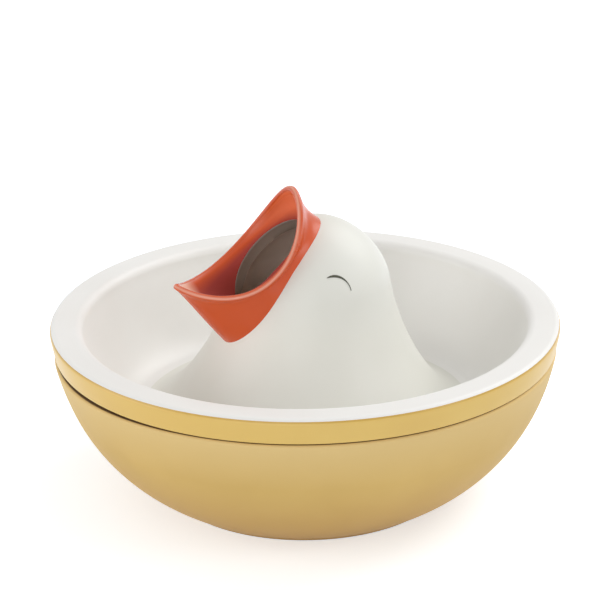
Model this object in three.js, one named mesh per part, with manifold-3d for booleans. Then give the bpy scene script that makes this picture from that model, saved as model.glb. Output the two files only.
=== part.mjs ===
// A glazed ceramic snack bowl. A snack tray rests on a deeper bowl, and a hollow bird's head stands in the
// middle of the tray: its open beak leads through the head into the bowl below.
// Millimetres, +Z up. The origin is the middle of the base, and the bird faces -Y.
import * as THREE from 'three';
import { mergeVertices } from 'three/addons/utils/BufferGeometryUtils.js';
import Module from 'manifold-3d';

// Gap left between two pieces that touch.
const TOUCH_GAP = 0.3;

// Lower bowl.
const BASE_RADIUS = 57;
const BOWL_HEIGHT = 61.2;
const BOWL_RIM_RADIUS = 101;
const BELLY_RADIUS = 93.2; // control point of the outside curve
const BELLY_HEIGHT = 20.2;
const BOWL_WALL = 5.8;
const BOWL_FLOOR = 7;
const BOWL_RIM_ROUND = 1.6;
const BASE_ROUND = 1.2;
const RECESS_RADIUS = 46; // hollow under the base that leaves a foot ring
const RECESS_DEPTH = 1.5;

// Snack tray: a broad rim, a trough, and a step that drops into the bowl's mouth.
const RIM_HEIGHT = 10.5; // from the seam to the rim's flat top
const RIM_OVERHANG = 1.5; // how far the widest line stands out past the bowl's rim
const RIM_OUTER_ROUND = 2.4;
const RIM_INNER_ROUND = 4;
const STEP_CLEARANCE = 1.2; // play of the step in the bowl's mouth
const STEP_DEPTH = 5;
const TRAY_WALL = 5;
const TROUGH_DEPTH = 38;
const TROUGH_CLEARANCE = 2.5; // keeps the trough's outside clear of the bowl's inside
const FLOOR_FLAT = 3; // flat of the trough floor round the head's foot
const SEAT_DEPTH = 2; // recess in the trough floor that holds the head's foot
const SEAT_WIDTH = 10; // ledge round the tray's middle opening

// Yellow band let into the tray's outer edge.
const BAND_THICKNESS = 3;
const BAND_LEDGE = 0.8; // white edge left above the band
const BAND_FOOT_ROUND = 0.8;

// Bird's head: a bell with a flared skirt and a domed crown, leaning back a little.
const SKIRT_RADIUS = 66;
const SKIRT_FLAT_LENGTH = 11; // length of the skirt curve's flat start
const WAIST_RADIUS = 36.5; // control point of the skirt curve
const WAIST_HEIGHT = 28; // heights on the head are above the trough floor
const CHEEK_RADIUS = 31.2;
const CHEEK_HEIGHT = 54;
const CROWN_HEIGHT = 79.5;
const CROWN_FLAT_LENGTH = 16; // length of the crown curve's flat end
const CHEEK_UPRIGHT_LENGTH = 11; // length of the crown curve's upright start
const HEAD_LEAN = 5;
const HEAD_WALL = 4.5;

// Beak: its foot and its throat are oval rings on the head, and its lip runs free between two tips. Angles
// are seen from the middle of the head: a pitch of 0 is straight up and 90 is straight ahead, and a spread is
// the angle to the side. Places on the lip are ahead of the bowl's axis and above the trough floor.
const BEAK_FOOT_PITCH_DEG = 55.6; // middle of the ring
const BEAK_FOOT_REACH_DEG = 61.7; // from the middle to the top and the bottom of the ring
const BEAK_FOOT_SPREAD_DEG = 42.5;
const THROAT_PITCH_DEG = 54;
const THROAT_REACH_DEG = 44;
const THROAT_SPREAD_DEG = 28;
const THROAT_EGG_SHARE = 0.15; // how much wider the throat is towards its top
const UPPER_TIP_FORWARD = 4.6;
const UPPER_TIP_HEIGHT = 92.9;
const UPPER_TIP_WIDTH = 8.3; // how far the lip runs level out of the tip
const CORNER_SIDE = 19.3; // corner of the mouth, where the two curves of the lip meet
const CORNER_FORWARD = 20;
const CORNER_HEIGHT = 66;
const CORNER_SLOPE_DEG = 41;
const UPPER_SWEEP_LENGTH = 17; // how far the lip follows the slope at the corner
const LOWER_SWEEP_LENGTH = 23;
const LOWER_TIP_FORWARD = 55.3;
const LOWER_TIP_HEIGHT = 60.6;
const LOWER_TIP_WIDTH = 2;
const LOWER_TIP_DROP = 1;
const BEAK_LIP = 2.4; // thickness of the lip
const BEAK_EDGE = 0.7; // step from the beak down to the head
const UPPER_HOLLOW = 3; // how deep the outside is hollowed between the foot and the lip
const SIDE_HOLLOW = 2.6;
const LOWER_HOLLOW = -0.3;
const INSIDE_HOLLOW = 1.5;

// Closed eyes: a thin line on each cheek.
const EYE_RADIUS = 7.6;
const EYE_START_DEG = 0; // degrees, at the back of the eye
const EYE_END_DEG = 108; // degrees, at the front of the eye
const EYE_FORWARD = 4.6; // middle of the eye's arc, from the middle of the head
const EYE_RISE = 4.6;
const EYE_WIDTH = 1.2;
const EYE_TAPER = 2; // moves the broadest place of the line towards its front end
const EYE_TIP_SHARE = 0.35; // width of the line's ends, as a share of its broadest place
const EYE_THICKNESS = 0.4;

// Facets round each piece, and steps along each curve.
const ROUND_SEGMENTS = 60;
const HEAD_SEGMENTS = 48;
const BEAK_SEGMENTS = 40;
const BOWL_STEPS = 9;
const TROUGH_STEPS = 8;
const SKIRT_STEPS = 11;
const CROWN_STEPS = 8;
const EDGE_STEPS = 4;
const BEAK_STEPS = 4;
const EYE_STEPS = 12;
const SURFACE_HALVINGS = 40; // steps of the search for the head's surface
const WELD = 1e-4;

const wasm = await Module();
wasm.setup();

const point = (radius, height) => new THREE.Vector2(radius, height);

// Even shares from 0 to 1.
const shares = (steps) => Array.from({ length: steps + 1 }, (_, i) => i / steps);

// Points along a Bezier curve through two ends, with one or two control points, flat or in space.
function bezier(steps, ...controls) {
  const quadratic = controls[0].isVector3 ? THREE.QuadraticBezierCurve3 : THREE.QuadraticBezierCurve;
  const cubic = controls[0].isVector3 ? THREE.CubicBezierCurve3 : THREE.CubicBezierCurve;
  const Curve = controls.length === 3 ? quadratic : cubic;
  return new Curve(...controls).getPoints(steps);
}

// Points along an arc of a circle, from one angle to another in degrees.
function arc(steps, centre, radius, from, to) {
  return shares(steps).map((share) => {
    const angle = THREE.MathUtils.degToRad(THREE.MathUtils.lerp(from, to, share));
    return point(centre.x + radius * Math.cos(angle), centre.y + radius * Math.sin(angle));
  });
}

// Moves each point of an outline sideways by a distance, to the left of its run.
function offset(points, distance) {
  return points.map((here, i) => {
    const before = points[Math.max(i - 1, 0)];
    const after = points[Math.min(i + 1, points.length - 1)];
    const run = after.clone().sub(before).normalize();
    return point(here.x - run.y * distance, here.y + run.x * distance);
  });
}

// Turns an outline of radius and height about the upright axis.
function turned(points, segments) {
  const geometry = new THREE.LatheGeometry(points, segments);
  geometry.rotateX(Math.PI / 2);
  return welded(geometry);
}

// Merges shared vertices and drops the empty triangles that meet the axis.
function welded(geometry) {
  geometry.deleteAttribute('normal');
  geometry.deleteAttribute('uv');
  const merged = mergeVertices(geometry, WELD);
  const old = merged.index.array;
  const kept = [];
  for (let i = 0; i < old.length; i += 3) {
    const [a, b, c] = [old[i], old[i + 1], old[i + 2]];
    if (a !== b && b !== c && c !== a) kept.push(a, b, c);
  }
  merged.setIndex(kept);
  return merged;
}

// Joins rings of equal counts into a closed body. An open row of rings gets a cap at each end.
function lofted(rings, closed) {
  const count = rings[0].length;
  const positions = rings.flat().flatMap((p) => [p.x, p.y, p.z]);
  const index = [];
  const spans = closed ? rings.length : rings.length - 1;
  for (let i = 0; i < spans; i++) {
    const here = i * count;
    const next = ((i + 1) % rings.length) * count;
    for (let j = 0; j < count; j++) {
      const k = (j + 1) % count;
      index.push(here + j, next + j, next + k, here + j, next + k, here + k);
    }
  }
  if (!closed) {
    const last = (rings.length - 1) * count;
    for (let j = 1; j < count - 1; j++) {
      index.push(0, j, j + 1);
      index.push(last, last + j + 1, last + j);
    }
  }
  const geometry = new THREE.BufferGeometry();
  geometry.setAttribute('position', new THREE.Float32BufferAttribute(positions, 3));
  geometry.setIndex(index);
  return facingOut(geometry);
}

// Turns every triangle round if the body is inside out.
function facingOut(geometry) {
  const position = geometry.attributes.position;
  const index = geometry.index.array;
  const corner = (i) => new THREE.Vector3().fromBufferAttribute(position, index[i]);
  let volume = 0;
  for (let i = 0; i < index.length; i += 3) {
    volume += corner(i).dot(corner(i + 1).cross(corner(i + 2)));
  }
  if (volume < 0) geometry.setIndex(Array.from(index).reverse());
  return geometry;
}

function solid(geometry) {
  const vertProperties = new Float32Array(geometry.attributes.position.array);
  const triVerts = new Uint32Array(geometry.index.array);
  return new wasm.Manifold(new wasm.Mesh({ numProp: 3, vertProperties, triVerts }));
}

function cut(geometry, tool) {
  const mesh = solid(geometry).subtract(solid(tool)).getMesh();
  const result = new THREE.BufferGeometry();
  result.setAttribute('position', new THREE.Float32BufferAttribute(mesh.vertProperties, 3));
  result.setIndex(Array.from(mesh.triVerts));
  return result;
}

function piece(name, geometry, glaze) {
  const flat = geometry.toNonIndexed();
  flat.computeVertexNormals();
  const mesh = new THREE.Mesh(flat, new THREE.MeshStandardMaterial({ ...glaze, metalness: 0 }));
  mesh.name = name;
  return mesh;
}

// Lower bowl: a round bowl with a flat rim, which the tray rests on.
const bowlOutside = bezier(
  BOWL_STEPS,
  point(BASE_RADIUS + BASE_ROUND, BASE_ROUND),
  point(BELLY_RADIUS, BELLY_HEIGHT),
  point(BOWL_RIM_RADIUS, BOWL_HEIGHT - BOWL_RIM_ROUND),
);
const bowlMouth = BOWL_RIM_RADIUS - BOWL_WALL;
const bowlInside = offset(bowlOutside, BOWL_WALL).filter((p) => p.y > BOWL_FLOOR + BASE_ROUND);
const bowlFloorRadius = bowlInside[0].x - BOWL_WALL;

function pitBowl() {
  const roundCentre = point(BOWL_RIM_RADIUS - BOWL_RIM_ROUND, BOWL_HEIGHT - BOWL_RIM_ROUND);
  return turned([
    point(0, RECESS_DEPTH),
    point(RECESS_RADIUS - RECESS_DEPTH, RECESS_DEPTH),
    point(RECESS_RADIUS, 0),
    point(BASE_RADIUS, 0),
    ...bowlOutside,
    ...arc(EDGE_STEPS, roundCentre, BOWL_RIM_ROUND, 0, 90).slice(1),
    point(bowlMouth, BOWL_HEIGHT),
    ...bowlInside.slice(0, -1).reverse(),
    point(bowlFloorRadius, BOWL_FLOOR),
    point(0, BOWL_FLOOR),
  ], ROUND_SEGMENTS);
}

// Inside radius of the bowl at a height.
function bowlInsideRadius(height) {
  const found = bowlInside.findIndex((p) => p.y >= height);
  const above = found < 0 ? bowlInside.length - 1 : Math.max(found, 1);
  const [low, high] = [bowlInside[above - 1], bowlInside[above]];
  return THREE.MathUtils.mapLinear(height, low.y, high.y, low.x, high.x);
}

// Levels and radii that the tray, the band and the head share.
const seat = BOWL_HEIGHT + TOUCH_GAP;
const rimTop = seat + RIM_HEIGHT;
const rimRadius = BOWL_RIM_RADIUS + RIM_OVERHANG;
const rimSideTop = rimTop - RIM_OUTER_ROUND;
const bandTop = rimTop - BAND_LEDGE - TOUCH_GAP;
const bandInside = BOWL_RIM_RADIUS - BAND_THICKNESS;
const troughFloor = rimTop - TROUGH_DEPTH;
const troughTop = bowlMouth - STEP_CLEARANCE - TRAY_WALL;
const seatLevel = troughFloor - SEAT_DEPTH;
const pitHole = SKIRT_RADIUS - SEAT_WIDTH;

// Angle on the rim's outer round at which a height is met, in degrees.
function rimRoundAngle(height) {
  return THREE.MathUtils.radToDeg(Math.asin((height - rimSideTop) / RIM_OUTER_ROUND));
}

// Snack tray: rim, trough and floor in one casting, open in the middle under the head.
function snackTray() {
  const roundCentre = point(rimRadius - RIM_OUTER_ROUND, rimSideTop);
  const innerCentre = point(troughTop + RIM_INNER_ROUND, rimTop - RIM_INNER_ROUND);
  const rebate = bandInside - TOUCH_GAP;
  const troughCurve = bezier(
    TROUGH_STEPS,
    point(troughTop, rimTop - RIM_INNER_ROUND),
    point(bowlInsideRadius(troughFloor) - TROUGH_CLEARANCE, troughFloor),
    point(SKIRT_RADIUS + FLOOR_FLAT, troughFloor),
  );
  const under = offset(troughCurve, TRAY_WALL).filter((p) => p.y < seat - STEP_DEPTH - TRAY_WALL);
  const ring = [
    point(pitHole, troughFloor - TRAY_WALL),
    ...under.reverse(),
    point(troughTop + TRAY_WALL, seat - STEP_DEPTH),
    point(troughTop + TRAY_WALL, seat),
    point(rebate, seat),
    point(rebate, rimTop - BAND_LEDGE),
    ...arc(EDGE_STEPS, roundCentre, RIM_OUTER_ROUND, rimRoundAngle(rimTop - BAND_LEDGE), 90),
    ...arc(EDGE_STEPS, innerCentre, RIM_INNER_ROUND, 90, 180),
    ...troughCurve.slice(1),
    point(SKIRT_RADIUS + TOUCH_GAP, troughFloor),
    point(SKIRT_RADIUS + TOUCH_GAP, seatLevel),
    point(pitHole, seatLevel),
  ];
  return turned([...ring, ring[0]], ROUND_SEGMENTS);
}

// Rim band: the tray's outer edge, which leans out from the seam to the widest line.
function rimBand() {
  const roundCentre = point(rimRadius - RIM_OUTER_ROUND, rimSideTop);
  const ring = [
    point(bandInside, seat),
    point(BOWL_RIM_RADIUS - BAND_FOOT_ROUND, seat),
    point(BOWL_RIM_RADIUS, seat + BAND_FOOT_ROUND),
    ...arc(EDGE_STEPS, roundCentre, RIM_OUTER_ROUND, 0, rimRoundAngle(bandTop)),
    point(bandInside, bandTop),
  ];
  return turned([...ring, ring[0]], ROUND_SEGMENTS);
}

// Bird's head, a hollow bell. Its outline is turned about an axis that leans back.
const onFloor = (radius, height) => point(radius, troughFloor + height);
const neckRun = point(CHEEK_RADIUS - WAIST_RADIUS, CHEEK_HEIGHT - WAIST_HEIGHT).normalize();
const headOutside = [
  ...bezier(
    SKIRT_STEPS,
    onFloor(SKIRT_RADIUS, 0),
    onFloor(SKIRT_RADIUS - SKIRT_FLAT_LENGTH, 0),
    onFloor(WAIST_RADIUS, WAIST_HEIGHT),
    onFloor(CHEEK_RADIUS, CHEEK_HEIGHT),
  ),
  ...bezier(
    CROWN_STEPS,
    onFloor(CHEEK_RADIUS, CHEEK_HEIGHT),
    onFloor(CHEEK_RADIUS + neckRun.x * CHEEK_UPRIGHT_LENGTH, CHEEK_HEIGHT + neckRun.y * CHEEK_UPRIGHT_LENGTH),
    onFloor(CROWN_FLAT_LENGTH, CROWN_HEIGHT),
    onFloor(0, CROWN_HEIGHT),
  ).slice(1),
];

function headRadius(height) {
  const above = headOutside.findIndex((p) => p.y >= height);
  if (above < 0) return 0;
  if (above === 0) return SKIRT_RADIUS;
  const [low, high] = [headOutside[above - 1], headOutside[above]];
  return THREE.MathUtils.mapLinear(height, low.y, high.y, low.x, high.x);
}

const lean = (height) => (HEAD_LEAN * (height - troughFloor)) / CROWN_HEIGHT;
const headMiddle = new THREE.Vector3(0, lean(troughFloor + CHEEK_HEIGHT), troughFloor + CHEEK_HEIGHT);

// Point at a distance outside the head's surface, seen from the middle of the head.
function onHead(direction, distance) {
  let near = 0;
  let far = SKIRT_RADIUS + CROWN_HEIGHT;
  for (let i = 0; i < SURFACE_HALVINGS; i++) {
    const middle = (near + far) / 2;
    const p = headMiddle.clone().addScaledVector(direction, middle);
    const inside = Math.hypot(p.x, p.y - lean(p.z)) < headRadius(p.z);
    if (inside) near = middle;
    else far = middle;
  }
  return headMiddle.clone().addScaledVector(direction, near + distance);
}

function birdHead() {
  const foot = seatLevel + TOUCH_GAP;
  const inner = offset(headOutside, HEAD_WALL).filter((p) => p.y > foot + HEAD_WALL / 2);
  const crown = inner.pop();
  const run = inner[0].clone().sub(inner[1]).normalize();
  const drop = (inner[0].y - foot) / -run.y;
  const shell = turned([
    point(0, crown.y),
    ...inner.slice().reverse(),
    point(inner[0].x + run.x * drop, foot),
    point(SKIRT_RADIUS, foot),
    ...headOutside,
  ], HEAD_SEGMENTS);
  const position = shell.attributes.position;
  for (let i = 0; i < position.count; i++) {
    position.setY(i, position.getY(i) + lean(position.getZ(i)));
  }
  return cut(shell, throatTool());
}

// Direction from the middle of the head, by pitch and sideways spread in degrees.
function heading(pitch, spread) {
  const [p, s] = [THREE.MathUtils.degToRad(pitch), THREE.MathUtils.degToRad(spread)];
  return new THREE.Vector3(Math.sin(s), -Math.cos(s) * Math.sin(p), Math.cos(s) * Math.cos(p));
}

// Direction to a place on an oval ring round the mouth: turn 0 is at the top and half a turn at the bottom.
function onFoot(turn) {
  return heading(
    BEAK_FOOT_PITCH_DEG - BEAK_FOOT_REACH_DEG * Math.cos(turn),
    BEAK_FOOT_SPREAD_DEG * Math.sin(turn),
  );
}

function onThroat(turn, widening) {
  const egg = 1 + THROAT_EGG_SHARE * Math.cos(turn);
  return heading(
    THROAT_PITCH_DEG - THROAT_REACH_DEG * widening * Math.cos(turn),
    THROAT_SPREAD_DEG * widening * egg * Math.sin(turn),
  );
}

const mouthTurns = shares(BEAK_SEGMENTS).slice(0, -1).map((share) => 2 * Math.PI * share);

// Plug that opens the mouth straight through the head's wall.
function throatTool() {
  const depth = 2 * HEAD_WALL;
  const inward = CHEEK_RADIUS / (CHEEK_RADIUS - depth);
  const ringAt = (distance, widening) => mouthTurns.map((turn) => onHead(onThroat(turn, widening), distance));
  return lofted([ringAt(-depth, inward), ringAt(0, 1), ringAt(CHEEK_RADIUS, 1)], false);
}

// Middle of the lip, from the upper tip down the bird's left side to the lower tip and back up its right.
function lipLine() {
  const place = (side, forward, height) => new THREE.Vector3(side, -forward, troughFloor + height);
  const upperTip = place(0, UPPER_TIP_FORWARD, UPPER_TIP_HEIGHT);
  const lowerTip = place(0, LOWER_TIP_FORWARD, LOWER_TIP_HEIGHT);
  const corner = place(CORNER_SIDE, CORNER_FORWARD, CORNER_HEIGHT);
  const slope = THREE.MathUtils.degToRad(CORNER_SLOPE_DEG);
  const upSlope = new THREE.Vector3(0, Math.cos(slope), Math.sin(slope));
  const half = [
    ...bezier(
      BEAK_SEGMENTS / 4,
      upperTip,
      upperTip.clone().add(new THREE.Vector3(UPPER_TIP_WIDTH, 0, 0)),
      corner.clone().addScaledVector(upSlope, UPPER_SWEEP_LENGTH),
      corner,
    ),
    ...bezier(
      BEAK_SEGMENTS / 4,
      corner,
      corner.clone().addScaledVector(upSlope, -LOWER_SWEEP_LENGTH),
      lowerTip.clone().add(new THREE.Vector3(LOWER_TIP_WIDTH, 0, -LOWER_TIP_DROP)),
      lowerTip,
    ).slice(1),
  ];
  const otherHalf = half.slice(1, -1).reverse().map((p) => new THREE.Vector3(-p.x, p.y, p.z));
  return [...half, ...otherHalf];
}

// The same place, or the nearest one that stays a distance outside the head.
function clearOfHead(place, distance) {
  const surface = onHead(place.clone().sub(headMiddle).normalize(), distance);
  return place.distanceTo(headMiddle) > surface.distanceTo(headMiddle) ? place : surface;
}

// One section through the beak's wall: up its outside, over the lip, down its inside and back along the head.
function beakSection(turn, i, lip) {
  const here = lip[i];
  const edge = TOUCH_GAP + BEAK_EDGE;
  const foot = onHead(onFoot(turn), edge);
  const throat = onHead(onThroat(turn, 1), edge);
  const run = lip[(i + 1) % lip.length].clone().sub(lip.at(i - 1)).normalize();
  const wall = foot.clone().add(throat).divideScalar(2).sub(here).normalize();
  const outward = run.clone().cross(wall).normalize();
  const crest = run.clone().cross(outward);
  const onLip = (out, up) => here.clone().addScaledVector(outward, out).addScaledVector(crest, up);

  const tipHollow = Math.cos(turn) > 0 ? UPPER_HOLLOW : LOWER_HOLLOW;
  const hollow = THREE.MathUtils.lerp(SIDE_HOLLOW, tipHollow, Math.cos(turn) ** 2);
  const swept = (from, to, sideways) => {
    const bend = from.clone().add(to).divideScalar(2).addScaledVector(outward, sideways);
    return bezier(BEAK_STEPS, from, bend, to).map((p) => clearOfHead(p, edge));
  };
  const outside = swept(foot, onLip(BEAK_LIP / 2, 0), -hollow);
  const round = arc(EDGE_STEPS, point(0, 0), BEAK_LIP / 2, 0, 180).slice(1, -1).map((p) => onLip(p.x, p.y));
  const inside = swept(onLip(-BEAK_LIP / 2, 0), throat, INSIDE_HOLLOW);
  const underside = shares(BEAK_STEPS).map((share) => (
    onHead(onThroat(turn, 1).lerp(onFoot(turn), share).normalize(), TOUCH_GAP)
  ));
  return [...outside, ...round, ...inside, ...underside];
}

function beak() {
  const lip = lipLine();
  return lofted(mouthTurns.map((turn, i) => beakSection(turn, i, lip)), true);
}

// One eye: a line bent along an arc on the cheek, broadest near its front. Side 1 is the bird's left.
function eye(side) {
  const rings = shares(EYE_STEPS).map((share) => {
    const angle = THREE.MathUtils.degToRad(THREE.MathUtils.lerp(EYE_START_DEG, EYE_END_DEG, share));
    const half = (EYE_WIDTH / 2) * THREE.MathUtils.lerp(EYE_TIP_SHARE, 1, Math.sin(Math.PI * share ** EYE_TAPER));
    const at = (radius, distance) => onHead(new THREE.Vector3(
      side * CHEEK_RADIUS,
      radius * Math.cos(angle) - EYE_FORWARD,
      radius * Math.sin(angle) + EYE_RISE,
    ).normalize(), distance);
    return [
      at(EYE_RADIUS - half, TOUCH_GAP),
      at(EYE_RADIUS + half, TOUCH_GAP),
      at(EYE_RADIUS + half, TOUCH_GAP + EYE_THICKNESS),
      at(EYE_RADIUS - half, TOUCH_GAP + EYE_THICKNESS),
    ];
  });
  return lofted(rings, false);
}

// Glazes.
const MATT_YELLOW = { color: '#d2ab62', roughness: 0.5 };
const GLOSSY_YELLOW = { color: '#d2ab62', roughness: 0.35 };
const WHITE = { color: '#ebe8e0', roughness: 0.3 };
const ORANGE = { color: '#c95f40', roughness: 0.25 };
const CHARCOAL = { color: '#4b4a4c', roughness: 0.5 };

const tray = new THREE.Group();
tray.add(
  piece('snack_tray', snackTray(), WHITE),
  piece('rim_band', rimBand(), GLOSSY_YELLOW),
  piece('bird_head', birdHead(), WHITE),
  piece('beak', beak(), ORANGE),
  piece('left_eye', eye(1), CHARCOAL),
  piece('right_eye', eye(-1), CHARCOAL),
);

const snackBowl = new THREE.Group();
snackBowl.add(piece('pit_bowl', pitBowl(), MATT_YELLOW), tray);

export default snackBowl;
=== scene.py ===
import math

import bmesh
import bpy
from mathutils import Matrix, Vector, kdtree


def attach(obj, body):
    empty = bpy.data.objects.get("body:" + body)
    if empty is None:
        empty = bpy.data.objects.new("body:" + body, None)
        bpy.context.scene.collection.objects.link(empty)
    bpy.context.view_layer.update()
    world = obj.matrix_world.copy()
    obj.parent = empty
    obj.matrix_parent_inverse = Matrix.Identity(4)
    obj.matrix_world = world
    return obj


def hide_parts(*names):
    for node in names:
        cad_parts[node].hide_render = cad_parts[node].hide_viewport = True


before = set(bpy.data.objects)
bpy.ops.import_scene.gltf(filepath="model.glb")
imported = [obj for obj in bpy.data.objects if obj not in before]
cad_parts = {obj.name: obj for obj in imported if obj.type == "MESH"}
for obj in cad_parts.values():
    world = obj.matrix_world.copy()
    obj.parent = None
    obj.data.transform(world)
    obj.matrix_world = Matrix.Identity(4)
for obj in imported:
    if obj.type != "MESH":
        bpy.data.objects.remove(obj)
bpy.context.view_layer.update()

# Camera: a long lens, to the front left of the bird and looking down into the tray. The picture is taken
# to be 590 by 591, so the lens is fitted to the height.
bpy.ops.object.camera_add(
    location=(0.9467, -0.4415, 0.4945),
    rotation=(math.radians(68.40), math.radians(0.785), math.radians(64.898)),
)
camera = bpy.context.object
camera.name = "camera"
camera.data.lens = 170.56
camera.data.sensor_width = 36
bpy.context.scene.camera = camera
bpy.context.scene.view_settings.view_transform = "Standard"


# Lower bowl: the bottom half of the pair, slip-cast stoneware with a matt yellow glaze. The foot ring is
# wiped bare before firing, and the top of the rim is painted dark as shade in the seam under the tray that
# rests on it.
mm = 0.001
bowl_base_radius = 57 * mm
bowl_base_edge = 0.3 * mm
bowl_base_round = 1.2 * mm
bowl_height = 61.2 * mm
bowl_rim_radius = 101 * mm
bowl_belly = (93.2 * mm, 20.2 * mm)
bowl_wall = 5.8 * mm
bowl_floor = 7 * mm
bowl_shoulder = 1.4 * mm
shoulder_turn = 80
bowl_seam = 0.25 * mm
bowl_mouth_round = 1 * mm
foot_hollow_radius = 46 * mm
foot_hollow_depth = 1.5 * mm
belly_steps = 28
shoulder_steps = 8
bowl_mouth_steps = 4
wheel_steps = 160
weld = 0.01 * mm
soft_edge = math.radians(40)


def curve(steps, *controls):
    """Points along a Bezier curve, from its control points."""
    points = []
    for i in range(steps + 1):
        row = [Vector(c) for c in controls]
        while len(row) > 1:
            row = [a.lerp(b, i / steps) for a, b in zip(row, row[1:])]
        points.append(tuple(row[0]))
    return points


def rounded(steps, centre, radius, start, end):
    """Points round an edge, from one angle to another in degrees."""
    points = []
    for i in range(steps + 1):
        angle = math.radians(start + (end - start) * i / steps)
        points.append((centre[0] + radius * math.cos(angle), centre[1] + radius * math.sin(angle)))
    return points


def moved_inwards(points, distance):
    """The same outline, moved to its left by a wall's thickness."""
    moved = []
    for i, (x, z) in enumerate(points):
        before = Vector(points[max(i - 1, 0)])
        after = Vector(points[min(i + 1, len(points) - 1)])
        run = (after - before).normalized()
        moved.append((x - run.y * distance, z + run.x * distance))
    return moved


def turned(name, outline):
    """A round piece, turned from an outline of (radius, height) points as on a potter's wheel."""
    bpy.ops.object.select_all(action="DESELECT")
    bpy.ops.mesh.primitive_plane_add(size=mm)
    piece = bpy.context.object
    piece.name = piece.data.name = name
    bpy.ops.object.mode_set(mode="EDIT")
    bpy.ops.mesh.merge(type="CENTER")
    bpy.ops.transform.translate(value=(outline[0][0], 0, outline[0][1]))
    for before, after in zip(outline, outline[1:]):
        step = (after[0] - before[0], 0, after[1] - before[1])
        bpy.ops.mesh.extrude_region_move(TRANSFORM_OT_translate={"value": step})
    bpy.ops.mesh.select_all(action="SELECT")
    bpy.ops.mesh.spin(steps=wheel_steps, angle=math.tau, center=(0, 0, 0), axis=(0, 0, 1))
    bpy.ops.mesh.select_all(action="SELECT")
    bpy.ops.mesh.remove_doubles(threshold=weld)
    bpy.ops.mesh.normals_make_consistent(inside=False)
    bpy.ops.object.mode_set(mode="OBJECT")
    bpy.ops.object.shade_smooth_by_angle(angle=soft_edge)
    return piece


def link(material, source, target):
    material.node_tree.links.new(source, target)


def node(material, kind, **inputs):
    """A new shader node with its inputs set by name."""
    made = material.node_tree.nodes.new(kind)
    for name, value in inputs.items():
        made.inputs[name.replace("_", " ")].default_value = value
    return made


def noise(material, scale, detail):
    """Soft noise laid over a piece in its own place, with a scale in lumps per metre."""
    place = material.node_tree.nodes.new("ShaderNodeTexCoord")
    made = node(material, "ShaderNodeTexNoise", Scale=scale, Detail=detail)
    link(material, place.outputs["Object"], made.inputs["Vector"])
    return made.outputs["Fac"]


def between(material, share, low, high):
    """A value that runs from low to high with a share of 0 to 1."""
    made = node(material, "ShaderNodeMapRange", To_Min=low, To_Max=high)
    link(material, share, made.inputs["Value"])
    return made.outputs["Result"]


def blended(material, share, first, second):
    """Colour that goes from the first to the second with a share of 0 to 1. Either can be a socket."""
    mix = material.node_tree.nodes.new("ShaderNodeMix")
    mix.data_type = "RGBA"
    link(material, share, mix.inputs["Factor"])
    for socket, colour in ((mix.inputs[6], first), (mix.inputs[7], second)):
        if isinstance(colour, bpy.types.NodeSocket):
            link(material, colour, socket)
        else:
            socket.default_value = (*colour, 1)
    return mix.outputs[2]


coat_patches = 28
coat_spread = 0.6
gloss_patches = 90
gloss_drift = 0.04
ripples = 150
ripple_height = 0.4 * mm


def glaze(name, thin, thick, roughness, unevenness):
    """Fired glaze: its colour drifts with the thickness of the coat, and its surface is faintly uneven."""
    material = bpy.data.materials.new(name)
    material.use_nodes = True
    shader = material.node_tree.nodes["Principled BSDF"]
    coat = between(material, noise(material, coat_patches, detail=3), -coat_spread, 1 + coat_spread)
    link(material, blended(material, coat, thin, thick), shader.inputs["Base Color"])
    patches = noise(material, gloss_patches, detail=2)
    gloss = between(material, patches, roughness - gloss_drift, roughness + gloss_drift)
    link(material, gloss, shader.inputs["Roughness"])
    bump = node(material, "ShaderNodeBump", Strength=unevenness, Distance=ripple_height)
    link(material, noise(material, ripples, detail=4), bump.inputs["Height"])
    link(material, bump.outputs["Normal"], shader.inputs["Normal"])
    return material


def painted_over(material, share, colour):
    """Lays another colour over the glaze where the share is 1."""
    target = material.node_tree.nodes["Principled BSDF"].inputs["Base Color"]
    under = target.links[0].from_socket
    link(material, blended(material, share, under, colour), target)


def height_share(material, low, high):
    """A share that runs from 0 at one height on the piece to 1 at another, either way up."""
    place = material.node_tree.nodes.new("ShaderNodeTexCoord")
    split = material.node_tree.nodes.new("ShaderNodeSeparateXYZ")
    link(material, place.outputs["Object"], split.inputs["Vector"])
    made = node(material, "ShaderNodeMapRange", From_Min=low, From_Max=high)
    link(material, split.outputs["Z"], made.inputs["Value"])
    return made.outputs["Result"]


def attribute_share(material, name, low, high):
    """A share that runs from 0 to 1 as an attribute of the piece runs from low to high."""
    source = material.node_tree.nodes.new("ShaderNodeAttribute")
    source.attribute_name = name
    made = node(material, "ShaderNodeMapRange", From_Min=low, From_Max=high)
    link(material, source.outputs["Fac"], made.inputs["Value"])
    return made.outputs["Result"]


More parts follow.
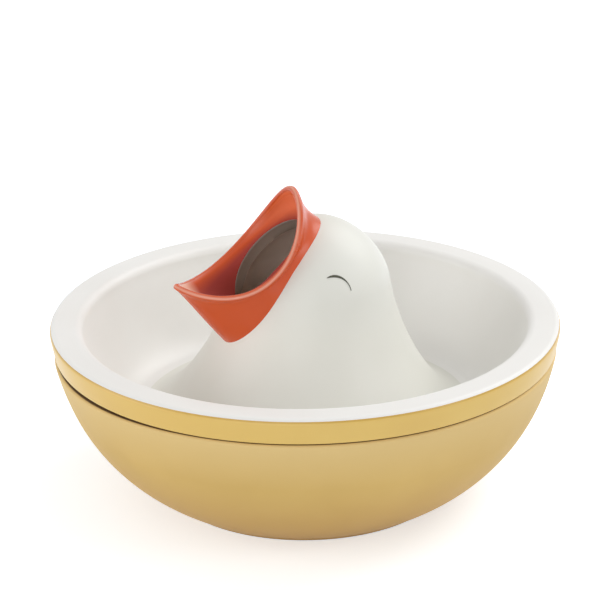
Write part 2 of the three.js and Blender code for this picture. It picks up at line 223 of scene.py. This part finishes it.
rim_level = bowl_height - bowl_seam
bowl_mouth = bowl_rim_radius - bowl_wall
shoulder_centre = (bowl_rim_radius - bowl_shoulder, rim_level - bowl_shoulder)
bowl_mouth_centre = (bowl_mouth + bowl_mouth_round, bowl_height - bowl_mouth_round)
bowl_outside = curve(
    belly_steps,
    (bowl_base_radius + bowl_base_round, bowl_base_round),
    bowl_belly,
    (bowl_rim_radius, rim_level - bowl_shoulder),
)
bowl_inside = [p for p in moved_inwards(bowl_outside, bowl_wall) if p[1] > bowl_floor + bowl_base_round]
pit_bowl = turned("pit_bowl_glazed", [
    (0, foot_hollow_depth),
    (foot_hollow_radius - foot_hollow_depth, foot_hollow_depth),
    (foot_hollow_radius, 0),
    (bowl_base_radius - bowl_base_edge, 0),
    (bowl_base_radius + 2 * bowl_base_edge, bowl_base_edge),
    *bowl_outside,
    *rounded(shoulder_steps, shoulder_centre, bowl_shoulder, 0, shoulder_turn)[1:],
    *rounded(bowl_mouth_steps, bowl_mouth_centre, bowl_mouth_round, 90, 180),
    *reversed(bowl_inside[:-1]),
    (bowl_inside[0][0] - bowl_wall, bowl_floor),
    (0, bowl_floor),
])

# Height over the rim in millimetres, measured before the sag, so that the painted seam shade follows the rim.
rim_line = pit_bowl.data.attributes.new("rim", "FLOAT", "POINT")
for vertex in pit_bowl.data.vertices:
    rim_line.data[vertex.index].value = (vertex.co.z - rim_level) / mm

# The rim has sagged a little in the kiln in front of the bird, so the seam stands open there.
sag_depth = 1.75 * mm
sag_middle = math.radians(-98)
sag_width = math.radians(56)
sag_start = 0.7 * bowl_height
for vertex in pit_bowl.data.vertices:
    turn = math.remainder(math.atan2(vertex.co.y, vertex.co.x) - sag_middle, math.tau)
    rise = max(0, (vertex.co.z - sag_start) / (bowl_height - sag_start))
    if abs(turn) < sag_width:
        vertex.co.z -= sag_depth * rise ** 2 * math.cos(turn / sag_width * math.pi / 2) ** 2

matt_shine = 0.3
# Painted light: the bowl is painted paler towards its rim, as a sheen under the seam.
painted_light_yellow = (0.79, 0.572, 0.25)
painted_light_heights = (bowl_height - 22 * mm, bowl_height + 6 * mm)
# Painted shade: the bowl is painted darker towards its foot.
painted_shade_yellow = (0.64, 0.366, 0.104)
painted_shade_heights = (0.6 * bowl_height, -0.1 * bowl_height)
# Painted shade: the top of the rim under the tray is painted dark, so that the seam reads dark.
painted_seam_shade = (0.15, 0.09, 0.045)
seam_shade_range = (-0.2, -0.05)
bare_stoneware = (0.72, 0.66, 0.55)
bare_heights = (0.5 * mm, 0.2 * mm)
yellow_matt = glaze("yellow_matt_glaze", (0.73, 0.488, 0.154), (0.67, 0.436, 0.131), 0.55, 0.05)
yellow_matt.node_tree.nodes["Principled BSDF"].inputs["Specular IOR Level"].default_value = matt_shine
painted_over(yellow_matt, height_share(yellow_matt, *painted_light_heights), painted_light_yellow)
painted_over(yellow_matt, height_share(yellow_matt, *painted_shade_heights), painted_shade_yellow)
painted_over(yellow_matt, attribute_share(yellow_matt, "rim", *seam_shade_range), painted_seam_shade)
painted_over(yellow_matt, height_share(yellow_matt, *bare_heights), bare_stoneware)
pit_bowl.data.materials.append(yellow_matt)
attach(pit_bowl, "bowl")
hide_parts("pit_bowl")


# Snack tray: the upper half of the pair, cast in one with its broad rim and the trough for the snacks, and
# glazed white. A step under the rim drops into the bowl's mouth and keeps the tray from sliding off.
touch = 0.3 * mm
seat = bowl_height + touch
rim_height = 10.5 * mm
rim_top = seat + rim_height
rim_overhang = 1.49 * mm
rim_radius = bowl_rim_radius + rim_overhang
rim_outer_round = 2.4 * mm
rim_inner_round = 4 * mm
tray_wall = 5 * mm
step_play = 1.2 * mm
step_radius = bowl_mouth - step_play
step_depth = 5 * mm
trough_top = step_radius - tray_wall
trough_depth = 38 * mm
trough_floor = rim_top - trough_depth
trough_belly = (78.9 * mm, trough_floor)
skirt_radius = 66 * mm
skirt_margin = 3 * mm
seat_depth = 2 * mm
seat_width = 10 * mm
middle_opening = skirt_radius - seat_width
band_depth = 3 * mm
band_back = bowl_rim_radius - band_depth
white_drop = 0.95 * mm
white_edge = rim_top - white_drop
rim_side_top = rim_top - rim_outer_round
white_edge_angle = math.degrees(math.asin((white_edge - rim_side_top) / rim_outer_round))
rim_corner = (rim_radius - rim_outer_round, rim_side_top)
rim_inner_corner = (trough_top + rim_inner_round, rim_top - rim_inner_round)
trough_steps = 24
rim_outer_steps = 10
rim_inner_steps = 12

trough = curve(
    trough_steps,
    (trough_top, rim_top - rim_inner_round),
    trough_belly,
    (skirt_radius + skirt_margin, trough_floor),
)
under = [p for p in moved_inwards(trough, tray_wall) if p[1] < seat - step_depth - tray_wall]
tray_ring = [
    (middle_opening, trough_floor - tray_wall),
    *reversed(under),
    (step_radius, seat - step_depth),
    (step_radius, seat),
    (band_back - touch, seat),
    (band_back - touch, white_edge),
    *rounded(rim_outer_steps, rim_corner, rim_outer_round, white_edge_angle, 90),
    *rounded(rim_inner_steps, rim_inner_corner, rim_inner_round, 90, 180),
    *trough[1:],
    (skirt_radius + touch, trough_floor),
    (skirt_radius + touch, trough_floor - seat_depth),
    (middle_opening, trough_floor - seat_depth),
]
snack_tray = turned("snack_tray_glazed", [*tray_ring, tray_ring[0]])

white_glaze = glaze("white_glaze", (0.88, 0.87, 0.845), (0.855, 0.84, 0.81), 0.4, 0.04)
snack_tray.data.materials.append(white_glaze)
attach(snack_tray, "tray")
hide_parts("snack_tray")


# Rim band: a coat of glossier yellow glaze, brushed round the tray's outer edge up to the white of the rim.
# Its lower edge bounds the seam where the tray rests on the bowl.
band_foot_round = 0.3 * mm
band_foot_centre = (bowl_rim_radius - band_foot_round, seat + band_foot_round)
band_foot_steps = 5
band_side_steps = 8
paint_gap = 0.02 * mm
band_ring = [
    (band_back, seat),
    *rounded(band_foot_steps, band_foot_centre, band_foot_round, 270, 360),
    *rounded(band_side_steps, rim_corner, rim_outer_round, 0, white_edge_angle),
    (band_back, white_edge - paint_gap),
]
rim_band = turned("rim_band_glazed", [*band_ring, band_ring[0]])

yellow_gloss = glaze("yellow_gloss_glaze", (0.79, 0.532, 0.136), (0.75, 0.483, 0.118), 0.3, 0.05)
golden_line = (0.60, 0.36, 0.06)
golden_heights = (white_edge - 0.9 * mm, white_edge - 0.3 * mm)
painted_over(yellow_gloss, height_share(yellow_gloss, *golden_heights), golden_line)
rim_band.data.materials.append(yellow_gloss)
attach(rim_band, "tray")
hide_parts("rim_band")


# Bird's head: a hollow cast bell that stands in the middle of the trough and leans back a little. It is
# glazed satin white, and its foot is set in the recess round the tray's middle opening.
skirt_sweep = 11 * mm
waist = (36.5 * mm, 28 * mm)
cheek = (31.2 * mm, 54 * mm)
cheek_fullness = 11 * mm
crown_height = 79.5 * mm
crown_flatness = 16 * mm
head_lean = 5 * mm
head_wall = 4.5 * mm
skirt_steps = 40
crown_steps = 36
halvings = 40
hair = 1e-9
fine_weld = 0.005 * mm
cut_edge = math.radians(50)


def on_floor(radius, height):
    return (radius, trough_floor + height)


neck_run = (Vector(cheek) - Vector(waist)).normalized()
head_outside = [
    *curve(
        skirt_steps,
        on_floor(skirt_radius + touch, 0),
        on_floor(skirt_radius - skirt_sweep, 0),
        on_floor(*waist),
        on_floor(*cheek),
    ),
    *curve(
        crown_steps,
        on_floor(*cheek),
        on_floor(cheek[0] + neck_run.x * cheek_fullness, cheek[1] + neck_run.y * cheek_fullness),
        on_floor(crown_flatness, crown_height),
        on_floor(0, crown_height),
    )[1:],
]


def head_radius(height):
    """Outside radius of the head at a height."""
    for low, high in zip(head_outside, head_outside[1:]):
        if low[1] <= height <= high[1]:
            share = (height - low[1]) / max(high[1] - low[1], hair)
            return low[0] + (high[0] - low[0]) * share
    return 0 if height > trough_floor else skirt_radius


def leaned(height):
    """How far back the head's middle is at a height."""
    return head_lean * (height - trough_floor) / crown_height


head_middle = Vector((0, leaned(trough_floor + cheek[1]), trough_floor + cheek[1]))


def on_head(direction, distance):
    """Point at a distance outside the head's surface, seen from the middle of the head."""
    near, far = 0, skirt_radius + crown_height
    for _ in range(halvings):
        middle = (near + far) / 2
        x, y, z = head_middle + direction * middle
        if math.hypot(x, y - leaned(z)) < head_radius(z):
            near = middle
        else:
            far = middle
    return head_middle + direction * (near + distance)


def heading(pitch, spread):
    """Direction from the middle of the head: a pitch of 0 is up and 90 ahead, and a spread goes sideways."""
    nod, swing = math.radians(pitch), math.radians(spread)
    return Vector((math.sin(swing), -math.cos(swing) * math.sin(nod), math.cos(swing) * math.cos(nod)))


def ring_by_ring(name, rings):
    """A piece pulled out ring by ring: a circle is laid on the first ring and extruded to each next one."""
    bpy.ops.object.select_all(action="DESELECT")
    bpy.ops.mesh.primitive_circle_add(vertices=len(rings[0]), radius=mm)
    piece = bpy.context.object
    piece.name = piece.data.name = name
    bpy.ops.object.mode_set(mode="EDIT")
    bpy.ops.mesh.select_all(action="SELECT")
    places = {}
    for i, ring in enumerate(rings):
        if i:
            bpy.ops.mesh.extrude_region_move()
        mesh = bmesh.from_edit_mesh(piece.data)
        mesh.verts.ensure_lookup_table()
        before, places = places, {}
        for vertex in [v for v in mesh.verts if v.select]:
            joined = [e.other_vert(vertex).index for e in vertex.link_edges]
            places[vertex.index] = next((before[j] for j in joined if j in before), vertex.index)
            vertex.co = ring[places[vertex.index]]
        bmesh.update_edit_mesh(piece.data)
    return piece


def closed_ends():
    """Caps every open edge of the piece in hand, merges doubles and turns the faces outwards."""
    bpy.ops.mesh.select_all(action="SELECT")
    bpy.ops.mesh.remove_doubles(threshold=fine_weld)
    bpy.ops.mesh.select_all(action="DESELECT")
    bpy.ops.mesh.select_mode(type="EDGE")
    bpy.ops.mesh.select_non_manifold()
    bpy.ops.mesh.edge_face_add()
    bpy.ops.mesh.select_mode(type="VERT")
    bpy.ops.mesh.select_all(action="SELECT")
    bpy.ops.mesh.normals_make_consistent(inside=False)
    if bmesh.from_edit_mesh(bpy.context.object.data).calc_volume(signed=True) < 0:
        bpy.ops.mesh.flip_normals()
    bpy.ops.object.mode_set(mode="OBJECT")


mouth_steps = 120
turns = [math.tau * i / mouth_steps for i in range(mouth_steps)]
throat_pitch = 54
throat_reach = 44
throat_spread = 28
throat_egg = 0.15


def on_throat(turn, widening=1):
    """Pitch and spread of a place on the throat's oval: turn 0 is at its top."""
    return (
        throat_pitch - throat_reach * widening * math.cos(turn),
        throat_spread * widening * math.sin(turn) * (1 + throat_egg * math.cos(turn)),
    )


head_foot = trough_floor - seat_depth + touch
head_inside = [p for p in moved_inwards(head_outside, head_wall) if p[1] > head_foot + head_wall / 2]
head_run = (Vector(head_inside[0]) - Vector(head_inside[1])).normalized()
head_inner_foot = head_inside[0][0] + head_run.x * (head_inside[0][1] - head_foot) / -head_run.y
bird_head = turned("bird_head_glazed", [
    (0, head_inside[-1][1]),
    *reversed(head_inside[:-1]),
    (head_inner_foot, head_foot),
    (skirt_radius + touch, head_foot),
    *head_outside,
])
for vertex in bird_head.data.vertices:
    vertex.co.y += leaned(vertex.co.z)

# The mouth is cut with a plug that flares out towards the hollow, so that the edge inside is blunt. Each pair
# is a height over the head's surface in millimetres and how much wider the mouth is there.
throat_flare = [(-6, 1.7), (-4.5, 1.54), (-3, 1.36), (-1.5, 1.18), (0, 1), (14, 1)]
plug_rings = [
    [on_head(heading(*on_throat(turn, widening)), height * mm) for turn in turns]
    for height, widening in throat_flare
]
plug_end = on_head(heading(throat_pitch, 0), throat_flare[-1][0] * mm)
plug = ring_by_ring("mouth_plug", [[head_middle] * mouth_steps, *plug_rings, [plug_end] * mouth_steps])
closed_ends()
bpy.ops.object.select_all(action="DESELECT")
bpy.context.view_layer.objects.active = bird_head
bird_head.select_set(True)
cut = bird_head.modifiers.new("mouth", "BOOLEAN")
cut.object = plug
cut.operation = "DIFFERENCE"
cut.solver = "EXACT"
bpy.ops.object.modifier_apply(modifier=cut.name)
bpy.data.objects.remove(plug)
bpy.ops.object.shade_smooth_by_angle(angle=cut_edge)


def depth_in_wall(place):
    """How far a place lies inside the head's outer surface."""
    spot = Vector((math.hypot(place.x, place.y - leaned(place.z)), place.z))
    nearest = skirt_radius
    for low, high in zip(head_outside, head_outside[1:]):
        run = Vector(high) - Vector(low)
        share = min(max((spot - Vector(low)).dot(run) / run.length_squared, 0), 1)
        nearest = min(nearest, (spot - Vector(low) - run * share).length)
    return nearest


# The wall of the cut is painted a darker clay brown, partly as bare clay and partly as painted shade, and the
# hollow behind it a pale warm wash, which also stands as painted light inside the mouth. Both follow the
# depth below the head's surface in millimetres.
cut_depth_line = bird_head.data.attributes.new("bare", "FLOAT", "POINT")
for vertex in bird_head.data.vertices:
    cut_depth_line.data[vertex.index].value = depth_in_wall(vertex.co) / mm

head_glaze = glaze("head_glaze", (0.80, 0.795, 0.74), (0.77, 0.765, 0.70), 0.45, 0.04)
clay_and_painted_shade = (0.50, 0.43, 0.355)
cut_shade_range = (0.2, 0.9)
wash_and_painted_light = (0.95, 0.82, 0.72)
hollow_light_range = (4.3, 4.48)
# Painted shade on the wall of the cut, and painted light in the hollow behind it.
painted_over(head_glaze, attribute_share(head_glaze, "bare", *cut_shade_range), clay_and_painted_shade)
painted_over(head_glaze, attribute_share(head_glaze, "bare", *hollow_light_range), wash_and_painted_light)
bird_head.data.materials.append(head_glaze)
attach(bird_head, "tray")
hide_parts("bird_head")


# Beak: a wide open funnel modelled on to the head round the mouth before firing, and glazed glossy orange.
# Its edge is a rounded lip with two tips, where the glaze runs thin and the crest carries a painted
# highlight.
foot_pitch = 55.6
foot_reach = 61.7
foot_spread = 42.5
foot_bluntness = 0.07
beak_edge = 0.05 * mm
upper_tip = Vector((0, -4.6, 126.8)) * mm
upper_width = Vector((8.3, 0, 0)) * mm
corner = Vector((19.3, -20, 100)) * mm
corner_slope = math.radians(41)
upper_sweep = 17 * mm
lower_sweep = 23 * mm
lower_tip = Vector((0, -55.3, 94.6)) * mm
lower_width = Vector((2, 0.3, -1.1)) * mm
lip_thickness = 2.4 * mm
upper_hollow = 3 * mm
side_hollow = 2.6 * mm
lower_hollow = -0.3 * mm
inside_hollow = 1.5 * mm
lip_straight = 4 * mm
outside_steps = 18
lip_steps = 10
inside_steps = 16
under_steps = 8

corner_run = Vector((0, math.cos(corner_slope), math.sin(corner_slope)))
half_lip = [
    *curve(
        mouth_steps // 4,
        upper_tip,
        upper_tip + upper_width,
        corner + corner_run * upper_sweep,
        corner,
    ),
    *curve(
        mouth_steps // 4,
        corner,
        corner - corner_run * lower_sweep,
        lower_tip + lower_width,
        lower_tip,
    )[1:],
]
lip = [Vector(p) for p in half_lip] + [Vector((-x, y, z)) for x, y, z in reversed(half_lip[1:-1])]


def clear_of_head(place):
    """The same place, or the nearest one that lies outside the head's surface."""
    surface = on_head((place - head_middle).normalized(), beak_edge)
    return place if (place - head_middle).length > (surface - head_middle).length else surface


def beak_section(i):
    """One section of the beak: up its outside, over the lip, down its inside and back along the head."""
    turn, place = turns[i], lip[i]
    upright, side = math.cos(turn), math.sin(turn)
    widening = 1 + foot_bluntness * max(0, -upright)
    foot_line = (foot_pitch - foot_reach * upright, foot_spread * side * widening)
    foot = on_head(heading(*foot_line), beak_edge)
    throat = on_head(heading(*on_throat(turn)), 0)
    wall = ((foot + throat) / 2 - place).normalized()
    run = (lip[(i + 1) % mouth_steps] - lip[i - 1]).normalized()
    outward = run.cross(wall).normalized() * lip_thickness / 2
    crest = run.cross(outward)
    tip_hollow = upper_hollow if upright > 0 else lower_hollow
    hollow = side_hollow + (tip_hollow - side_hollow) * upright ** 2
    bend = outward.normalized()
    rise = wall * lip_straight
    outer, inner = place + outward, place - outward
    outside = curve(outside_steps, foot, (foot + outer) / 2 - bend * hollow, outer + rise, outer)
    inside = curve(inside_steps, inner, inner + rise, (inner + throat) / 2 + bend * inside_hollow, throat)
    section = [clear_of_head(Vector(p)) for p in outside[:-1]]
    for k in range(lip_steps + 1):
        angle = math.pi * k / lip_steps
        section.append(place + outward * math.cos(angle) + crest * math.sin(angle))
    section += [Vector(p) for p in inside[1:]]
    for k in range(1, under_steps + 1):
        share = k / under_steps
        between_lines = [a + (b - a) * share for a, b in zip(on_throat(turn), foot_line)]
        section.append(on_head(heading(*between_lines), 0))
    return section


def dulled(material, share, roughness):
    """Takes the shine off the glaze where the share is 1."""
    target = material.node_tree.nodes["Principled BSDF"].inputs["Roughness"]
    mix = node(material, "ShaderNodeMix", B=roughness)
    link(material, share, mix.inputs["Factor"])
    link(material, target.links[0].from_socket, mix.inputs["A"])
    link(material, mix.outputs["Result"], target)


sections = [beak_section(i) for i in range(mouth_steps)]
beak_rings = [list(ring) for ring in zip(*sections)]
beak = ring_by_ring("beak_glazed", [*beak_rings, beak_rings[0]])
closed_ends()
bpy.ops.object.shade_smooth_by_angle(angle=cut_edge)

# The lip is painted paler, as glaze thin at the edge and as a painted highlight, and the inside of the lower
# tip paler still, as a painted reflection. The roof is painted a lighter orange as painted light, and deep
# inside, most along the throat and the lower side, a darker red as painted shade, where the glaze is also
# dull. Each vertex finds its ring and its turn by its place, because extruding doesn't keep their order.
tip_reach = 0.7
tip_sharpness = 5
tip_reflection = 2.2
side_depth = 0.65
low_depth = 0.35
throat_depth = 0.6
beak_places = kdtree.KDTree(len(beak_rings) * mouth_steps)
for k, ring in enumerate(beak_rings):
    for i, place in enumerate(ring):
        beak_places.insert(place, k * mouth_steps + i)
beak_places.balance()
lip_line = beak.data.attributes.new("lip", "FLOAT", "POINT")
depth_line = beak.data.attributes.new("depth", "FLOAT", "POINT")
roof_line = beak.data.attributes.new("roof", "FLOAT", "POINT")
for vertex in beak.data.vertices:
    ring, i = divmod(beak_places.find(vertex.co)[1], mouth_steps)
    crest = abs(ring - outside_steps - lip_steps / 2) / (lip_steps / 2)
    lip_line.data[vertex.index].value = max(0, 1 - crest)
    depth = (ring - outside_steps - lip_steps) / inside_steps
    lowness = -math.cos(turns[i])
    if 0 < depth <= 1:
        slope = depth * (side_depth + low_depth * lowness)
        depth_line.data[vertex.index].value = max(slope, throat_depth * depth ** 3)
        roof_line.data[vertex.index].value = max(0, -lowness)
    # Painted reflection: the inside of the lower tip is marked paler.
    if 0 < depth < tip_reach and lowness > 0:
        lip_line.data[vertex.index].value = tip_reflection * (1 - depth / tip_reach) * lowness ** tip_sharpness

orange_glaze = glaze("orange_glaze", (0.66, 0.09, 0.013), (0.61, 0.074, 0.009), 0.26, 0.05)
painted_light_orange = (0.84, 0.17, 0.06)
roof_range = (0, 0.8)
painted_shade_red = (0.33, 0.036, 0.025)
painted_shade_range = (0.2, 0.62)
thin_edge_and_highlight = (0.86, 0.45, 0.33)
edge_range = (0.5, 1.2)
dull_roughness = 0.95
dull_range = (0.05, 0.3)
# Painted light on the roof, painted shade deep inside, and a paler lip with a painted highlight and
# reflection.
painted_over(orange_glaze, attribute_share(orange_glaze, "roof", *roof_range), painted_light_orange)
painted_over(orange_glaze, attribute_share(orange_glaze, "depth", *painted_shade_range), painted_shade_red)
painted_over(orange_glaze, attribute_share(orange_glaze, "lip", *edge_range), thin_edge_and_highlight)
dulled(orange_glaze, attribute_share(orange_glaze, "depth", *dull_range), dull_roughness)
beak.data.materials.append(orange_glaze)
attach(beak, "tray")
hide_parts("beak")


# Eyes: a dark line brushed on each cheek, bowed like a closed eye. It is broadest near its front end and
# runs out to a fine point at the back.
eye_radius = 7.6 * mm
eye_start = 0
eye_end = 108
eye_forward = 4.6 * mm
eye_rise = 4.6 * mm
eye_width = 1.25 * mm
eye_tip = 0.22
eye_weight = 2
eye_thickness = 0.25 * mm
eye_steps = 40
brush_steps = 10
brush_edge = math.radians(60)

eye_paint = glaze("eye_line", (0.075, 0.073, 0.048), (0.055, 0.055, 0.033), 0.45, 0.04)
for name, side, replaced in (("left_eye_line", 1, "left_eye"), ("right_eye_line", -1, "right_eye")):
    eye_rings = []
    for i in range(eye_steps + 1):
        share = i / eye_steps
        angle = math.radians(eye_start + (eye_end - eye_start) * share)
        half = eye_width / 2 * (eye_tip + (1 - eye_tip) * math.sin(math.pi * share ** eye_weight))
        ring = []
        for k in range(brush_steps):
            round_turn = math.tau * k / brush_steps
            radius = eye_radius + half * math.cos(round_turn)
            direction = Vector((
                side * cheek[0],
                radius * math.cos(angle) - eye_forward,
                radius * math.sin(angle) + eye_rise,
            )).normalized()
            ring.append(on_head(direction, eye_thickness / 2 * (1 + math.sin(round_turn))))
        eye_rings.append(ring)
    eye = ring_by_ring(name, eye_rings)
    closed_ends()
    bpy.ops.object.shade_smooth_by_angle(angle=brush_edge)
    eye.data.materials.append(eye_paint)
    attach(eye, "tray")
    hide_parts(replaced)


# Studio: a pale floor in a white surround, with a large softbox high behind the bird, two low ones to the
# left and in front of the bowl and a small one to its right. The floor also glows where it is seen, which
# leaves a soft shadow.
floor_size = 12
floor_glow = 0.5
surround_light = 0.55
lamp_aim = Vector((0, 0, 0.05))


def seen_plainly(material):
    """1 for what the camera sees, straight or in a reflection, and 0 for the light on the object."""
    ray = material.node_tree.nodes.new("ShaderNodeLightPath")
    total = ray.outputs["Is Camera Ray"]
    for kind in ("Is Glossy Ray", "Is Transmission Ray"):
        either = material.node_tree.nodes.new("ShaderNodeMath")
        either.operation = "MAXIMUM"
        link(material, total, either.inputs[0])
        link(material, ray.outputs[kind], either.inputs[1])
        total = either.outputs[0]
    return total


bpy.ops.object.select_all(action="DESELECT")
bpy.ops.mesh.primitive_plane_add(size=floor_size)
floor = bpy.context.object
floor.name = "floor"
floor_paint = bpy.data.materials.new("floor_paint")
floor_paint.use_nodes = True
floor_shader = floor_paint.node_tree.nodes["Principled BSDF"]
floor_shader.inputs["Base Color"].default_value = (0.82, 0.88, 0.97, 1)
floor_shader.inputs["Roughness"].default_value = 0.9
floor_shader.inputs["Specular IOR Level"].default_value = 0
floor_shader.inputs["Emission Color"].default_value = (1, 1, 1, 1)
glow = between(floor_paint, seen_plainly(floor_paint), 0, floor_glow)
link(floor_paint, glow, floor_shader.inputs["Emission Strength"])
floor.data.materials.append(floor_paint)

surround = bpy.data.worlds.new("surround")
bpy.context.scene.world = surround
surround.use_nodes = True
backdrop = surround.node_tree.nodes["Background"]
backdrop.inputs["Color"].default_value = (1, 0.995, 0.985, 1)
brightness = between(surround, seen_plainly(surround), surround_light, 1)
link(surround, brightness, backdrop.inputs["Strength"])

lamps = [
    ("back_softbox", (-0.184, 1.045, 1.111), 1.3, 11),
    ("left_softbox", (-0.4, -1.41, 0.4), 1.2, 6.2),
    ("front_softbox", (1.14, -0.95, 0.26), 1.2, 4.9),
    ("right_softbox", (1.07, 0.84, 0.72), 0.5, 2),
]
for name, place, size, power in lamps:
    bpy.ops.object.light_add(type="AREA", location=place)
    softbox = bpy.context.object
    softbox.name = name
    softbox.data.shape = "DISK"
    softbox.data.size = size
    softbox.data.energy = power
    softbox.rotation_euler = (lamp_aim - softbox.location).to_track_quat("-Z", "Y").to_euler()
